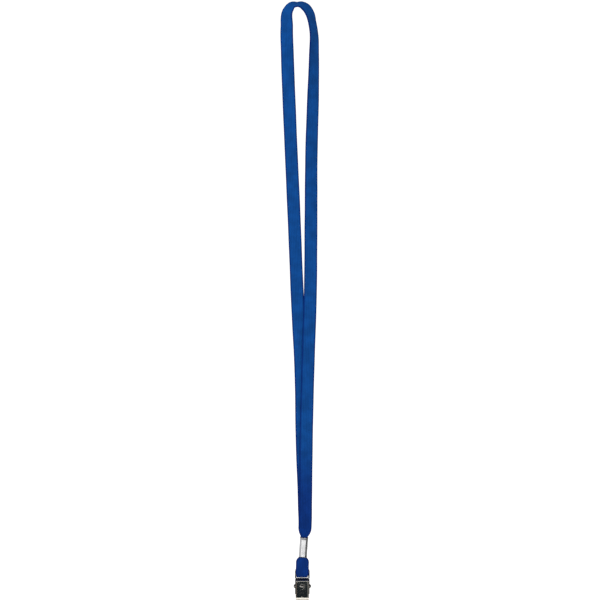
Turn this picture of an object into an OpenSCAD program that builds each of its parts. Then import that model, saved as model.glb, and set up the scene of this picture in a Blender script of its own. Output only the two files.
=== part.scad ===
// A flat-tape neck lanyard: one loop of braided tape, a crimp, and a sprung bulldog clip that holds a badge.
// Frame: +Z up, +X to the right, the front faces -Y. The origin is the top of the neck loop, from which
// the lanyard hangs. Clip parts are drawn with the rivet's axis along X at their own origin.

/* [Tape] */
// Width of the flat tape
tape_w = 9.9; // [8:0.1:12]
// Thickness of the flat tape
tape_t = 1.1; // [0.6:0.1:1.3]

/* [Crimp] */
// Height of the crimp
crimp_h = 15.2; // [12:0.2:18]
// Width of the crimp across its front
crimp_w = 6.2; // [5.6:0.1:8]
// Depth of the crimp from front to back
crimp_d = 5.4; // [5.2:0.1:7]
// Sheet thickness of the crimp
crimp_wall = 0.45; // [0.3:0.05:0.5]
// How far the crimp leans sideways
crimp_lean = 4; // [0:1:6]

/* [Clip] */
// Width of the clip over its rear ears
clip_w = 11; // [9:0.2:14]
// Sheet thickness of both jaws
sheet = 0.5; // [0.4:0.05:0.6]
// Gap between the front jaw's ears and the rear jaw's ears
ear_gap = 0.08; // [0.05:0.01:0.2]
// Depth from the rivet axis to the middle of the rear plate, where the tape's fold is centred
rear_depth = 2.35; // [2.2:0.05:3.7]
// Depth from the rivet axis to the outside of the front plate
front_depth = 3.1; // [2.8:0.1:4]
// Height of the thumb plate above the rivet axis
thumb_h = 13; // [11:0.2:18]
// Corner radius of the thumb plate
thumb_corner = 1.8; // [0.5:0.1:3]
// Height of the front lever above the rivet axis
lever_h = 5.2; // [4:0.1:5.4]
// Depth of the rear jaw's lip below the rivet axis
jaw_h = 11.4; // [10:0.2:15]
// How much further the rear lip reaches than the front lip
lip_step = 1.4; // [0.8:0.1:2]
// Pitch of the teeth on the lips
tooth_pitch = 1.1; // [0.8:0.1:2]
// Height of the teeth on the lips
tooth_h = 0.45; // [0.2:0.05:0.8]
// Diameter of the front jaw's round boss
boss_d = 3.4; // [2:0.1:5]
// Height of the round boss
boss_h = 0.45; // [0.2:0.05:0.8]

/* [Strap slot] */
// Height of the slot's lower edge above the rivet axis
slot_bottom = 5.9; // [5.7:0.1:6]
// Height of the slot
slot_h = 1.7; // [1.6:0.1:1.9]
// Metal left at each side of the slot
slot_post = 0.9; // [0.7:0.1:1.5]
// Clearance of the tape in the slot at each side
slot_clear = 0.2; // [0.1:0.05:0.5]

/* [Rivet] */
// Diameter of the rivet's shank
rivet_d = 2; // [1.4:0.1:2.4]
// Radial clearance of the shank in the front jaw's ears
rivet_clear = 0.05; // [0.02:0.01:0.1]
// Diameter of the rivet's domed heads
head_d = 3; // [2.6:0.1:4]
// Height of the rivet's domed heads
head_h = 1.2; // [0.6:0.1:1.5]

/* [Spring] */
// Diameter of the spring wire
wire_d = 0.5; // [0.3:0.05:0.6]
// Whole turns in the spring, before the last half turn
spring_turns = 5; // [3:1:6]
// Gap between the rivet and the inside of the coil
coil_gap = 0.2; // [0.1:0.05:0.3]
// Length of the coil along the rivet
coil_l = 5.6; // [4.5:0.1:6]
// Length of each spring leg above the rivet axis
leg_h = 2.7; // [2.2:0.1:2.8]

/* [Hidden] */
$fn = 48;
eps = 0.01;

// Where the crimp's middle and the rivet's axis are
crimp_at = [3.75, 0, -411.8];
clip_at = [2.9, -0.3, -441.5];

// The tape's route, by hand: [x, y, z, turn]. The turn is how far the tape's face is turned from the
// front towards the outside of the loop. It starts in the crimp and goes up the left side.
neck_route = [
    [3.4, 0, -417.5, 0], [4.3, 0, -404, 0], [4.8, 0.6, -398, 0], [4.5, 0.7, -380, 0], [2.9, 0.7, -335, 0],
    [1.9, 0.7, -280, 0], [-0.8, 0.5, -224, 0], [-3.4, 0, -160, 0], [-6.6, 0, -87, 0], [-8.5, 0, -36, 0],
    [-8.9, 0, -17, 15], [-7.8, 0, -3.6, 36], [-4.9, 0, 0, 48], [-1, 0, 0.6, 60], [2.2, 0, 0.4, 51],
    [5.3, 0, -1.4, 42], [8.6, 0, -6.2, 44], [10.2, 0, -12, 51], [11.7, 0, -21, 50], [11.8, 0, -38, 41],
    [11.1, 0, -69, 27], [9.9, 0, -110, 17], [9.5, 0, -165, 9], [9.1, -0.4, -215, 0], [7.4, -0.7, -270, 0],
    [6, -0.7, -325, 0], [5.4, -0.7, -375, 0], [4.9, -0.9, -398, 0], [4.3, -1.4, -404, 0]
];
// The lower loop, on down through the crimp, round the slot's upper edge and back up into the crimp
loop_route = [
    [3.2, -1.4, -419.6, 0], [2.9, 0, -427, 0], [2.8, 1.1, -433.7, 0], [2.8, 1.4, -434.5, 0],
    [2.8, 2.05, -434.8, 0], [2.8, 2.7, -434.5, 0], [2.8, 3, -433.7, 0], [2.9, 3.05, -428.6, 0],
    [3.2, 1.4, -419.6, 0], [4.1, 1.4, -407, 0]
];
route = concat(neck_route, loop_route);
last = len(route) - 1;
rings_per_step = 2;

// How the tape is squeezed: its size inside the crimp, and the lengths over which it spreads again
layer_t = 1.2;
layer_w = crimp_w - 2 * crimp_wall - 0.9;
spread_above = 7;
spread_below = 5;
crimp_top = crimp_at.z + crimp_h / 2;
crimp_foot = crimp_at.z - crimp_h / 2;

// The slot, and the tape's width inside it
slot_top = slot_bottom + slot_h;
slot_w = clip_w - 2 * slot_post;
slot_tape_w = min(tape_w, slot_w - 2 * slot_clear);
spread_slot = 3;

// Faces of the two jaws, measured from the rivet axis, and the width over the front jaw's ears
rear_mid = rear_depth;
front_mid = -(front_depth - sheet / 2);
front_w = clip_w - 2 * (sheet + ear_gap);
rivet_r = rivet_d / 2;

// Where the rear jaw bends forward, and the upright lip that the front jaw bites on
rear_bend_top = -5.8;
lip_h = 2;
lip_mid = 0.4;
lip_w = clip_w - 1;
bend_steps = 14;

// The front jaw's rolled top and bent-in lip
roll_r = 0.65;
roll_end = -30;
lip_bend_r = 1.6;
lip_turn = 65;
bite_gap = 0.05;
front_foot = -(jaw_h - lip_step);

// Radius of each ear's round nose about the rivet's axis
rear_ear_r = 2.3;
front_ear_r = 1.85;

// Where the rear ears leave the plate, below the slot, and how far their lower corner reaches forward
rear_ear_top = slot_bottom - 0.9;
rear_ear_reach = -0.9;
// How far back the front ears' lower corner is from the front plate's middle
front_ear_back = 1.8;

// The crimp's corner radius and the width of the seam at its back
crimp_corner = 0.36 * crimp_d;
crimp_seam = 0.3;

// The round corners of the front jaw's plate
front_corner = 0.6;

// The spring's coil radius at the wire's middle, and the gap that its legs keep to the plates
coil_r = rivet_r + coil_gap + wire_d / 2;
leg_gap = 0.03;
wire_sides = 8;
steps_per_turn = 16;

function unit(v) = v / norm(v);
function mix(a, b, s) = a + (b - a) * s;
function clamp(s) = min(max(s, 0), 1);
function smooth(s) = clamp(s) ^ 2 * (3 - 2 * clamp(s));
function ease_out(s) = 1 - (1 - clamp(s)) ^ 2;
function on_circle(r, a) = [r * cos(a), r * sin(a)];
function place(i) = [route[i].x, route[i].y, route[i].z];
function turn(i) = route[i][3];

// Direction of the route at a point: the slopes before and after it, each weighted by the other's length
function slope(i) =
    i == 0 ? unit(place(1) - place(0)) :
    i == last ? unit(place(last) - place(last - 1)) :
    let (a = place(i) - place(i - 1), b = place(i + 1) - place(i), la = norm(a), lb = norm(b))
    (a * lb / la + b * la / lb) / (la + lb);

// A point, and its direction, at share s of the way from route point i to the next, on a cubic curve
function along(i, s) =
    let (p = place(i), q = place(i + 1), h = norm(q - p))
    p * (2 * s ^ 3 - 3 * s ^ 2 + 1) + q * (3 * s ^ 2 - 2 * s ^ 3)
    + slope(i) * h * (s ^ 3 - 2 * s ^ 2 + s) + slope(i + 1) * h * (s ^ 3 - s ^ 2);
function heading(i, s) =
    let (p = place(i), q = place(i + 1), h = norm(q - p))
    unit((q - p) * (6 * s - 6 * s ^ 2)
    + slope(i) * h * (3 * s ^ 2 - 4 * s + 1) + slope(i + 1) * h * (3 * s ^ 2 - 2 * s));

// The tape's width direction: across the front where the turn is 0, and towards the back as it turns
function across(i, s) =
    let (t = heading(i, s), f = mix(turn(i), turn(i + 1), s),
         side = i >= len(neck_route) - 1 ? [1, 0, 0] : unit(cross(t, [0, 1, 0])),
         w = -side * cos(f) - [0, 1, 0] * sin(f))
    unit(w - t * (w * t));

// How far the tape has spread from its squeezed size at height z: 0 in the crimp, 1 well clear of it
function spread(z) = ease_out(max((z - crimp_top) / spread_above, (crimp_foot - z) / spread_below));
function width_at(i, z) =
    let (free = mix(layer_w, tape_w, spread(z)))
    i < len(neck_route) ? free :
    min(free, mix(slot_tape_w, tape_w, smooth((z - clip_at.z - slot_top) / spread_slot)));
function thickness_at(z) = mix(layer_t, tape_t, spread(z));

// One ring of the tape: a flat section with chamfered edges
function ring(i, s) =
    let (c = along(i, s), w = across(i, s), n = cross(w, heading(i, s)),
         a = w * width_at(i, c.z) / 2, b = n * thickness_at(c.z) / 2)
    [c + a + b / 2, c + 0.9 * a + b, c - 0.9 * a + b, c - a + b / 2,
     c - a - b / 2, c - 0.9 * a - b, c + 0.9 * a - b, c + a - b / 2];

// A closed skin over rings that all have the same number of points
module skin(rings) {
    n = len(rings[0]);
    m = len(rings);
    polyhedron(
        points = [for (r = rings) each r],
        faces = concat(
            [[for (k = [0:n - 1]) n - 1 - k]],
            [[for (k = [0:n - 1]) (m - 1) * n + k]],
            [for (j = [0:m - 2], k = [0:n - 1]) each
                let (a = j * n + k, b = j * n + (k + 1) % n)
                [[a, b, b + n], [a, b + n, a + n]]]));
}

// A strip of sheet metal seen from its side: the path's points moved half the sheet to each side
function side_of(path, d) =
    [for (k = [0:len(path) - 1])
        let (v = unit(path[min(k + 1, len(path) - 1)] - path[max(k - 1, 0)]))
        path[k] + d * [-v.y, v.x]];
module strip(path, w) {
    edge = side_of(path, sheet / 2);
    other = side_of(path, -sheet / 2);
    // the path is drawn in depth and height, and pulled out along X
    across_x(w) polygon([each edge, for (k = [len(other) - 1:-1:0]) other[k]]);
}

// Pulls a shape drawn in depth and height out to a width w, centred on X
module across_x(w) {
    translate([-w / 2, 0, 0]) rotate([90, 0, 90]) linear_extrude(w) children();
}

// Pulls a shape drawn in width and height through the whole clip's depth
module through_y() {
    reach = 4 * (rear_depth + front_depth);
    translate([0, reach / 2, 0]) rotate([90, 0, 0]) linear_extrude(reach) children();
}

// An outline seen from the front: round top corners and a toothed lower edge
module toothed_outline(w, top, foot, corner) {
    teeth = 2 * floor(w / tooth_pitch / 2) + 1;
    pitch = w / teeth;
    polygon([
        for (a = [0:15:90]) [w / 2 - corner + corner * cos(a), top - corner + corner * sin(a)],
        for (a = [90:15:180]) [-w / 2 + corner + corner * cos(a), top - corner + corner * sin(a)],
        for (k = [0:teeth - 1]) each
            [[-w / 2 + k * pitch, foot + tooth_h], [-w / 2 + (k + 0.5) * pitch, foot]],
        [w / 2, foot + tooth_h]
    ]);
}

// A rounded rectangle about the origin
module rounded(w, d, r) {
    square([w - 2 * r, d], center = true);
    square([w, d - 2 * r], center = true);
    for (x = [-1, 1], y = [-1, 1]) translate([x * (w / 2 - r), y * (d / 2 - r)]) circle(r);
}

// The flat tape, from its first cut end to its last
module strap() {
    color("#1a4f94")
    skin([
        for (i = [0:last - 1], k = [0:rings_per_step - 1]) ring(i, k / rings_per_step),
        ring(last - 1, 1)
    ]);
}

// The crimp: a sheet-metal sleeve with its seam at the back
module crimp() {
    color("#d8d9da")
    translate(crimp_at) rotate([0, crimp_lean, 0])
    translate([0, 0, -crimp_h / 2]) linear_extrude(crimp_h) difference() {
        rounded(crimp_w, crimp_d, crimp_corner);
        rounded(crimp_w - 2 * crimp_wall, crimp_d - 2 * crimp_wall, crimp_corner - crimp_wall);
        translate([-crimp_seam / 2, 0]) square([crimp_seam, crimp_d]);
    }
}

// Two ears at x = +-(half - thickness), drawn in depth and height, with a round hole for the rivet
module ears(half, hole_r) {
    for (s = [0, 1]) mirror([s, 0, 0]) difference() {
        translate([half - sheet, 0, 0]) rotate([90, 0, 90]) linear_extrude(sheet) children();
        translate([half - sheet - eps, 0, 0]) rotate([0, 90, 0]) cylinder(h = sheet + 2 * eps, r = hole_r);
    }
}

// The rear jaw: thumb plate, strap slot, ears and the upright lip
module rear_jaw() {
    bend_foot = -(jaw_h - lip_h);
    path = [
        [rear_mid, thumb_h],
        for (k = [0:bend_steps])
            [mix(rear_mid, lip_mid, smooth(k / bend_steps)), mix(rear_bend_top, bend_foot, k / bend_steps)],
        [lip_mid, -jaw_h]
    ];
    color("#6d6a66") translate(clip_at) {
        difference() {
            intersection() {
                strip(path, clip_w);
                through_y() union() {
                    toothed_outline(lip_w, 0, -jaw_h, eps);
                    translate([0, rear_bend_top - 1]) plate_outline();
                }
            }
            through_y() translate([-slot_w / 2, slot_bottom]) square([slot_w, slot_h]);
        }
        ears(clip_w / 2, rivet_r) {
            circle(rear_ear_r);
            polygon([
                [rear_mid, rear_ear_top], on_circle(rear_ear_r, 64), on_circle(rear_ear_r, 197),
                [rear_ear_reach, rear_bend_top], [rear_mid, rear_bend_top - 1]
            ]);
        }
    }
}

// The part of the rear plate that is as wide as the clip, with round top corners, from 0 up
module plate_outline() {
    h = thumb_h - rear_bend_top + 1;
    r = thumb_corner;
    polygon([
        [clip_w / 2, 0],
        for (a = [0:15:90]) [clip_w / 2 - r + r * cos(a), h - r + r * sin(a)],
        for (a = [90:15:180]) [-clip_w / 2 + r + r * cos(a), h - r + r * sin(a)],
        [-clip_w / 2, 0]
    ]);
}

// The front jaw: short lever with a rolled top, round boss, ears and the bent-in toothed lip
module front_jaw() {
    roll_z = lever_h - sheet / 2 - roll_r;
    roll_y = front_mid + roll_r;
    lip_tip_y = lip_mid - sheet / 2 - bite_gap - sheet / 2 * cos(lip_turn);
    bend_y = front_mid + lip_bend_r * (1 - cos(lip_turn));
    lip_run = (lip_tip_y - bend_y) / sin(lip_turn);
    bend_z = front_foot + sheet / 2 * sin(lip_turn) + lip_run * cos(lip_turn) + lip_bend_r * sin(lip_turn);
    path = [
        for (a = [roll_end:15:180]) [roll_y + roll_r * cos(a), roll_z + roll_r * sin(a)],
        for (a = [0:5:lip_turn])
            [front_mid + lip_bend_r * (1 - cos(a)), bend_z - lip_bend_r * sin(a)],
        [lip_tip_y, bend_z - lip_bend_r * sin(lip_turn) - lip_run * cos(lip_turn)]
    ];
    boss_r = ((boss_d / 2) ^ 2 + boss_h ^ 2) / (2 * boss_h);
    color("#4a4c50") translate(clip_at) {
        intersection() {
            strip(path, front_w);
            through_y() toothed_outline(front_w, lever_h, front_foot, front_corner);
        }
        intersection() {
            translate([0, boss_r - boss_h - front_depth, 0]) sphere(boss_r);
            translate([-boss_d, -front_depth - 2 * boss_h, -boss_d]) cube([2 * boss_d, 2 * boss_h + sheet / 2, 2 * boss_d]);
        }
        ears(front_w / 2, rivet_r + rivet_clear) {
            circle(front_ear_r);
            polygon([
                [front_mid, roll_z - roll_r], on_circle(front_ear_r, 120), on_circle(front_ear_r, -30),
                [front_mid + front_ear_back, bend_z], [front_mid, bend_z]
            ]);
        }
    }
}

// The rivet: a shank through both ears and a domed head at each end
module rivet() {
    dome_r = ((head_d / 2) ^ 2 + head_h ^ 2) / (2 * head_h);
    color("#b9b4ae") translate(clip_at) rotate([0, 90, 0]) {
        cylinder(h = clip_w, r = rivet_r, center = true);
        for (s = [0, 1]) mirror([0, 0, s]) translate([0, 0, clip_w / 2]) intersection() {
            translate([0, 0, head_h - dome_r]) sphere(dome_r);
            cylinder(h = 2 * head_h, r = head_d);
        }
    }
}

// The torsion spring: a coil round the rivet, one leg up the rear plate and one up the front lever
module spring() {
    sweep = 180 + 360 * spring_turns;
    steps = steps_per_turn * spring_turns + steps_per_turn / 2;
    rear_leg_y = rear_mid - sheet / 2 - leg_gap - wire_d / 2;
    front_leg_y = -(front_depth - sheet - leg_gap - wire_d / 2);
    path = [
        [-coil_l / 2, rear_leg_y, leg_h],
        [-coil_l / 2, mix(coil_r, rear_leg_y, 0.5), leg_h / 2],
        for (k = [0:steps])
            [coil_l * (k / steps - 0.5), coil_r * cos(sweep * k / steps), -coil_r * sin(sweep * k / steps)],
        [coil_l / 2, mix(-coil_r, front_leg_y, 0.5), leg_h / 2],
        [coil_l / 2, front_leg_y, leg_h]
    ];
    n = len(path) - 1;
    color("#8a8c90") translate(clip_at) skin([
        for (k = [0:n])
            let (t = unit(path[min(k + 1, n)] - path[max(k - 1, 0)]), u = unit([1, 0, 0] - t * t.x), v = cross(u, t))
            [for (j = [0:wire_sides - 1])
                path[k] + wire_d / 2 * (u * cos(360 * j / wire_sides) + v * sin(360 * j / wire_sides))]
    ]);
}

strap();
crimp();
rear_jaw();
front_jaw();
rivet();
spring();
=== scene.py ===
"""Dresses a flat-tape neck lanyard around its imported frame: tape, crimp, bulldog clip, studio and camera.

All lengths are metres in the frame's own axes: +Z is up, the front faces -Y, and the origin is the top of
the neck loop. Shapes are worked out with numpy as whole arrays and handed to Blender as finished meshes.
"""

import logging
import math
from dataclasses import dataclass
from enum import Enum
from typing import Any, Sequence

import bmesh
import bpy
import numpy as np
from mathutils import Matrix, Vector

import sys

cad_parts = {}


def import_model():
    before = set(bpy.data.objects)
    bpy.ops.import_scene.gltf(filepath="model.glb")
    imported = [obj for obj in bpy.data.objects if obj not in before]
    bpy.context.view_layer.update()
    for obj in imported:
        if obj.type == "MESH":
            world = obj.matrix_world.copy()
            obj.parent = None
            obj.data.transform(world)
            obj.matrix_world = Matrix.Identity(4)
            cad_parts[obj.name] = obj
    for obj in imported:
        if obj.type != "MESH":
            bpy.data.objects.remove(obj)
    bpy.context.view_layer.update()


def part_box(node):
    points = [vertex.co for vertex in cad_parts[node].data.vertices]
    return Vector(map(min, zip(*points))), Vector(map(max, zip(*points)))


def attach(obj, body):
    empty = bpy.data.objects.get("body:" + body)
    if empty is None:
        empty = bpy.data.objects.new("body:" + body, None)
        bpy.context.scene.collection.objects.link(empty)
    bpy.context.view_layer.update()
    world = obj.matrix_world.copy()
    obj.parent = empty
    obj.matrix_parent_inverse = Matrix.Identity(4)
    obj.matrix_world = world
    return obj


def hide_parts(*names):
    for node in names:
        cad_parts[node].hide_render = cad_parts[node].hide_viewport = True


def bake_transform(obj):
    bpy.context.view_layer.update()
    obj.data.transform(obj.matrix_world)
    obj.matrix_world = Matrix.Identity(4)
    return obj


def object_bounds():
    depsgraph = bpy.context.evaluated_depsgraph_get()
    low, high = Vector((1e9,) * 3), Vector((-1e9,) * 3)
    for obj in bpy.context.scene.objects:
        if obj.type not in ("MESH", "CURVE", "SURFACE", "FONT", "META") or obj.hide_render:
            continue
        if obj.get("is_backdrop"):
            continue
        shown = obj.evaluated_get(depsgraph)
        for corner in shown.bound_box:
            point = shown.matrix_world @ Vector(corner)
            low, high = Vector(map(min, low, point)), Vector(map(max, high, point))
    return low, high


LOG = logging.getLogger("lanyard")
MM = 0.001
Colour = tuple[float, float, float]
Point = tuple[float, float, float]


class Body(Enum):
    """The moving bodies of the frame."""

    NECK = "neck"
    CLIP = "clip"
    JAW = "jaw"


class Slot(Enum):
    """Names for the material slots."""

    TAPE = "tape"
    CRIMP = "crimp_metal"
    PLATE = "clip_plate"
    RIVET = "rivet_steel"
    SPRING = "spring_wire"


class Side(Enum):
    """The two sides of the clip, as the sign of X."""

    LEFT = -1
    RIGHT = 1


class Sum(Enum):
    """The sums that a Math node can do for these materials."""

    ADD = "ADD"
    TIMES = "MULTIPLY"
    LESS = "SUBTRACT"
    POWER = "POWER"
    SINE = "SINE"
    SIZE = "ABSOLUTE"
    ZIGZAG = "PINGPONG"


# ---------------------------------------------------------------------------------------------------------
# Numbers and curves
# ---------------------------------------------------------------------------------------------------------


def unit(v: np.ndarray) -> np.ndarray:
    """Scales every vector in the last axis to length one."""
    return v / np.linalg.norm(v, axis=-1, keepdims=True)


def smooth(s: np.ndarray) -> np.ndarray:
    """Eases from 0 to 1: three times s squared less two times s cubed, with s held between 0 and 1."""
    t = np.clip(s, 0.0, 1.0)
    return t * t * (3.0 - 2.0 * t)


def ease_out(s: np.ndarray) -> np.ndarray:
    """Rises fast and settles at 1: one less the square of what is left of s."""
    return 1.0 - (1.0 - np.clip(s, 0.0, 1.0)) ** 2


def mix(a: Any, b: Any, s: Any) -> Any:
    """Goes straight from a at s = 0 to b at s = 1."""
    return a + (b - a) * s


def arc(middle: Sequence[float], radius: float, start: float, stop: float, steps: int) -> np.ndarray:
    """Points on a circle's arc: the middle plus the radius times the cosine and sine of the angle.

    Args:
        middle: The two coordinates of the circle's middle.
        radius: The circle's radius.
        start: The first angle in degrees.
        stop: The last angle in degrees.
        steps: How many equal steps the arc has.

    Returns:
        One row of two coordinates for each point.
    """
    angle = np.radians(np.linspace(start, stop, steps + 1))
    return np.asarray(middle) + radius * np.stack([np.cos(angle), np.sin(angle)], axis=1)


def stations(breaks: Sequence[float], step: float) -> np.ndarray:
    """Numbers from the first break to the last that hit every break and are never further apart than step.

    Args:
        breaks: The numbers that have to be hit, in rising order.
        step: The longest gap between neighbours.

    Returns:
        The rising numbers.
    """
    runs = [
        np.linspace(a, b, max(1, math.ceil((b - a) / step)), endpoint=False)
        for a, b in zip(breaks[:-1], breaks[1:])
    ]
    return np.concatenate([*runs, [breaks[-1]]])


def walk(points: np.ndarray) -> np.ndarray:
    """The distance walked along a line of points, from 0 at its first point."""
    return np.concatenate([[0.0], np.cumsum(np.linalg.norm(np.diff(points, axis=0), axis=1))])


def at_distance(points: np.ndarray, distance: np.ndarray) -> np.ndarray:
    """The places at given distances along a line of points.

    Args:
        points: The line's points, one row each.
        distance: The distances from the line's start, of any array shape.

    Returns:
        The places, with the coordinates in a new last axis.
    """
    along = walk(points)
    return np.stack([np.interp(distance, along, points[:, k]) for k in range(points.shape[1])], axis=-1)


# ---------------------------------------------------------------------------------------------------------
# Meshes
# ---------------------------------------------------------------------------------------------------------


@dataclass
class Shell:
    """A mesh in the making: corner places, four-cornered faces, and flat end caps."""

    corners: np.ndarray
    quads: np.ndarray
    caps: list[list[int]]

    @classmethod
    def grid(cls, places: np.ndarray, keep: np.ndarray | None = None) -> "Shell":
        """An open surface on a grid of places: each cell between four neighbours is one face.

        Args:
            places: The places on a rows by columns grid, with the coordinates in the last axis.
            keep: Which cells are kept, as a mask that is one shorter each way, or None for all.

        Returns:
            The surface.
        """
        rows, columns = places.shape[:2]
        index = np.arange(rows * columns).reshape(rows, columns)
        quads = np.stack([index[:-1, :-1], index[:-1, 1:], index[1:, 1:], index[1:, :-1]], axis=-1)
        chosen = quads if keep is None else quads[keep]
        return cls(places.reshape(-1, 3), chosen.reshape(-1, 4), [])

    @classmethod
    def tube(cls, rings: np.ndarray, capped: bool = True) -> "Shell":
        """A closed skin over rings of places, each ring joined round on itself.

        Args:
            rings: The places, rings by places round a ring, with the coordinates in the last axis.
            capped: Whether the first and the last ring are closed with a flat cap, or joined to each other.

        Returns:
            The skin.
        """
        count, around = rings.shape[:2]
        index = np.arange(count * around).reshape(count, around)
        turned = np.roll(index, -1, axis=1)
        after = np.roll(index, -1, axis=0)
        quads = np.stack([index, turned, np.roll(after, -1, axis=1), after], axis=-1)
        if not capped:
            return cls(rings.reshape(-1, 3), quads.reshape(-1, 4), [])
        caps = [index[0, ::-1].tolist(), index[-1].tolist()]
        return cls(rings.reshape(-1, 3), quads[:-1].reshape(-1, 4), caps)

    def joined(self, other: "Shell") -> "Shell":
        """Puts another shell's faces with this one's.

        Args:
            other: The shell to add.

        Returns:
            Both shells as one.
        """
        shift = len(self.corners)
        caps = self.caps + [[k + shift for k in cap] for cap in other.caps]
        corners = np.vstack([self.corners, other.corners])
        return Shell(corners, np.vstack([self.quads, other.quads + shift]), caps)

    def made(self, name: str) -> bpy.types.Object:
        """Hands the shell to Blender as a new object at the origin.

        Args:
            name: The new piece's name.

        Returns:
            The new object, linked to the scene.
        """
        mesh = bpy.data.meshes.new(name)
        mesh.from_pydata(self.corners.tolist(), [], self.quads.tolist() + self.caps)
        mesh.update()
        piece = bpy.data.objects.new(name, mesh)
        bpy.context.scene.collection.objects.link(piece)
        return piece


def finish_surface(piece: bpy.types.Object, crease: float = 38.0) -> None:
    """Turns a closed piece's faces outwards, smooths them, and marks its worn corners.

    The faces are turned over when the volume they enclose is negative. The attribute "edge" is 0 on a flat
    stretch and rises to 1 where the faces round a corner differ from its own normal by 45 degrees.

    Args:
        piece: The finished piece.
        crease: The angle in degrees above which an edge stays sharp.
    """
    mesh = piece.data
    mesh.calc_loop_triangles()
    places = np.empty(len(mesh.vertices) * 3)
    mesh.vertices.foreach_get("co", places)
    triangles = np.empty(len(mesh.loop_triangles) * 3, dtype=np.int32)
    mesh.loop_triangles.foreach_get("vertices", triangles)
    a, b, c = np.moveaxis(places.reshape(-1, 3)[triangles.reshape(-1, 3)], 1, 0)
    if np.sum(a * np.cross(b, c)) < 0.0:
        mesh.flip_normals()
    mesh.polygons.foreach_set("use_smooth", np.ones(len(mesh.polygons), dtype=bool))
    mesh.set_sharp_from_angle(angle=math.radians(crease))
    own = np.empty(len(mesh.vertices) * 3)
    mesh.vertices.foreach_get("normal", own)
    flat = np.empty(len(mesh.polygons) * 3)
    mesh.polygons.foreach_get("normal", flat)
    sides = np.empty(len(mesh.polygons), dtype=np.int32)
    mesh.polygons.foreach_get("loop_total", sides)
    corner = np.empty(len(mesh.loops), dtype=np.int32)
    mesh.loops.foreach_get("vertex_index", corner)
    face_of = np.repeat(np.arange(len(sides)), sides)
    lean = np.sum(own.reshape(-1, 3)[corner] * flat.reshape(-1, 3)[face_of], axis=1)
    least = np.ones(len(mesh.vertices))
    np.minimum.at(least, corner, lean)
    worn = np.clip((1.0 - least) / (1.0 - math.cos(math.radians(45.0))), 0.0, 1.0)
    mesh.attributes.new("edge", "FLOAT", "POINT").data.foreach_set("value", worn.astype(np.float32))


def thickened(surface: bpy.types.Mesh, sheet: float, rim: float, rim_steps: int = 6) -> Shell:
    """Gives an open middle surface the thickness of sheet metal with rounded edges.

    Both faces lie half the sheet from the middle, along the corners' own normals. Round the edge, a corner
    goes out by the rim times the root of the cosine and up by half the sheet times the sine of an angle
    from 90 to -90 degrees. Outwards is the edge's direction crossed with the normal.

    Args:
        surface: The middle surface, its faces all turned the same way.
        sheet: The sheet's thickness.
        rim: How far the rounded edge stands out.
        rim_steps: How many steps there are round the edge.

    Returns:
        The closed sheet.
    """
    place = np.array([corner.co for corner in surface.vertices])
    quads = np.array([face.vertices for face in surface.polygons])
    diagonals = place[quads[:, 2]] - place[quads[:, 0]], place[quads[:, 3]] - place[quads[:, 1]]
    facing = np.cross(*diagonals)
    normal = np.zeros_like(place)
    for k in range(4):
        np.add.at(normal, quads[:, k], facing)
    normal = unit(normal)
    edge = np.stack([quads, np.roll(quads, -1, axis=1)], axis=-1).reshape(-1, 2)
    code = edge[:, 0] * len(place) + edge[:, 1]
    back = edge[:, 1] * len(place) + edge[:, 0]
    rim_edge = edge[~np.isin(code, back)]
    out = np.zeros_like(place)
    away = unit(np.cross(place[rim_edge[:, 1]] - place[rim_edge[:, 0]], normal[rim_edge[:, 0]]))
    np.add.at(out, rim_edge[:, 0], away)
    np.add.at(out, rim_edge[:, 1], away)
    on_rim = np.unique(rim_edge)
    tilt = np.sum(out[on_rim] * normal[on_rim], axis=1, keepdims=True)
    outwards = unit(out[on_rim] - normal[on_rim] * tilt)
    angle = np.radians(np.linspace(90.0, -90.0, rim_steps + 1))[1:-1, None, None]
    half = sheet / 2 * normal
    rounds = place[on_rim] + rim * np.cos(angle) ** 0.5 * outwards + np.sin(angle) * half[on_rim]
    layers = np.full((rim_steps + 1, len(place)), -1)
    layers[0, on_rim] = on_rim
    layers[-1, on_rim] = on_rim + len(place)
    layers[1:-1, on_rim] = 2 * len(place) + np.arange(rounds[..., 0].size).reshape(rounds.shape[:2])
    first, second = layers[:, rim_edge[:, 0]], layers[:, rim_edge[:, 1]]
    strips = np.stack([second[:-1], first[:-1], first[1:], second[1:]], axis=-1).reshape(-1, 4)
    corners = np.vstack([place + half, place - half, rounds.reshape(-1, 3)])
    return Shell(corners, np.vstack([quads, quads[:, ::-1] + len(place), strips]), [])


# ---------------------------------------------------------------------------------------------------------
# Shader nodes
# ---------------------------------------------------------------------------------------------------------


def node(
    tree: bpy.types.NodeTree, kind: str, inputs: dict[Any, Any] | None = None, **settings: Any
) -> bpy.types.Node:
    """Adds a node to a tree, sets it up and joins it.

    Args:
        tree: The node tree.
        kind: The node's type.
        inputs: For each input's name or number, the socket that feeds it or the value it holds.
        **settings: The node's own settings.

    Returns:
        The new node.
    """
    made = tree.nodes.new(kind)
    for key, value in settings.items():
        setattr(made, key, value)
    for key, value in (inputs or {}).items():
        if isinstance(value, bpy.types.NodeSocket):
            tree.links.new(value, made.inputs[key])
        else:
            made.inputs[key].default_value = value
    return made


def maths(tree: bpy.types.NodeTree, work: Sum, first: Any, second: Any = 0.0, held: bool = False) -> Any:
    """Adds a Math node.

    Args:
        tree: The node tree.
        work: The sum to do.
        first: The first number or socket.
        second: The second number or socket.
        held: Whether the answer is kept between 0 and 1.

    Returns:
        The answer's socket.
    """
    terms = {0: first, 1: second}
    return node(tree, "ShaderNodeMath", terms, operation=work.value, use_clamp=held).outputs[0]


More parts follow.
